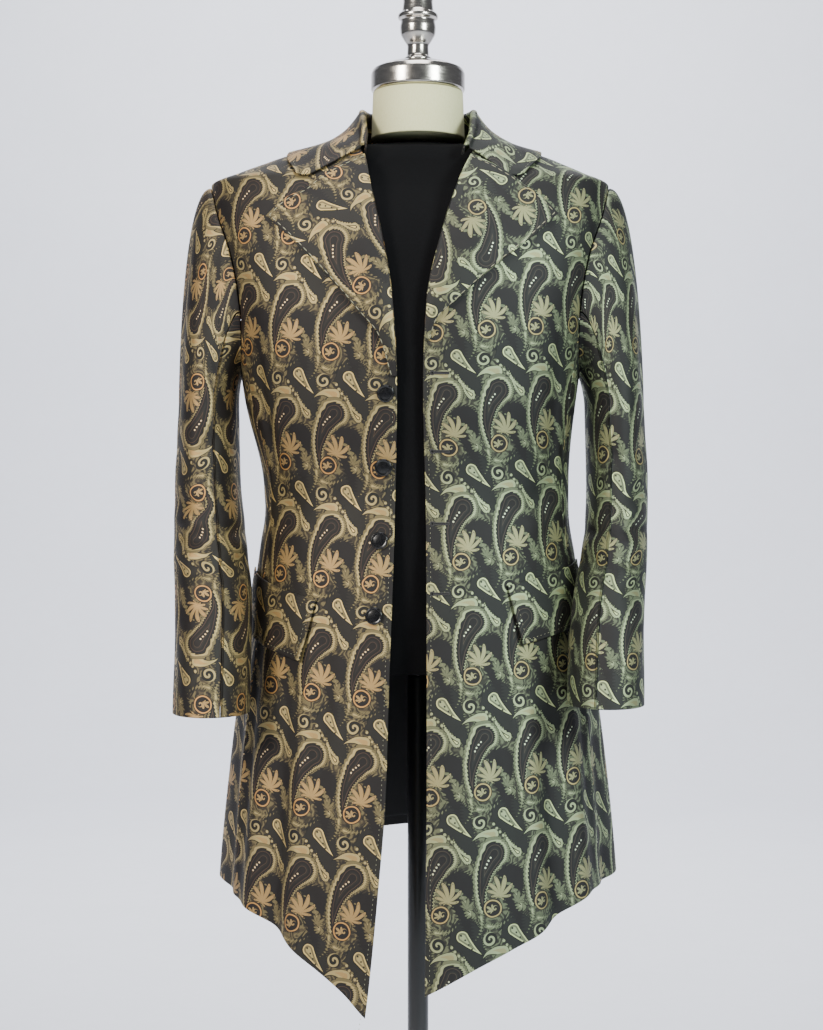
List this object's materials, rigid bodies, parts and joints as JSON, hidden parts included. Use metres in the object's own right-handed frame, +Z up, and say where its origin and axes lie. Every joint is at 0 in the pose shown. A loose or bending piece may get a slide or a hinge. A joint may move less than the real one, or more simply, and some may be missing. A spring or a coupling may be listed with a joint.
{
  "type": "frock coat on a limbless tailor's form",
  "caption": "Open knee-length frock coat in paisley brocade with wide peaked lapels and pocket flaps, standing on a limbless tailor's form with a pole and a round base.",
  "frame": {"origin": "centre of the base's underside, on the floor below the form's pole", "axes": "+Z up along the pole, -Y towards the coat's open front, +X towards the wearer's left"},
  "size_m": [0.564, 0.366, 1.69],
  "materials": {
    "brocade": "woven paisley brocade with a satin sheen",
    "lining": "black satin lining",
    "button": "glossy black",
    "jersey": "matt dark jersey",
    "neck_cloth": "pale cotton",
    "polished_metal": "polished nickel",
    "black_enamel": "satin black enamel"
  },
  "bodies": {
    "root": {"front_right": "brocade", "front_left": "brocade", "side_body_right": "brocade", "side_body_left": "brocade", "back_right": "brocade", "back_left": "brocade", "back_lining_right": "lining", "back_lining_left": "lining", "top_sleeve_right": "brocade", "top_sleeve_left": "brocade", "under_sleeve_right": "brocade", "under_sleeve_left": "brocade", "collar": "brocade", "lapel_right": "brocade", "lapel_left": "brocade", "pocket_flap_right": "brocade", "pocket_flap_left": "brocade", "button_1": "button", "button_2": "button", "button_3": "button", "button_4": "button", "form_torso": "jersey", "form_neck": "neck_cloth", "neck_cap": "polished_metal", "finial": "polished_metal", "pole": "black_enamel", "base": "black_enamel"}
  },
  "joints": []
}
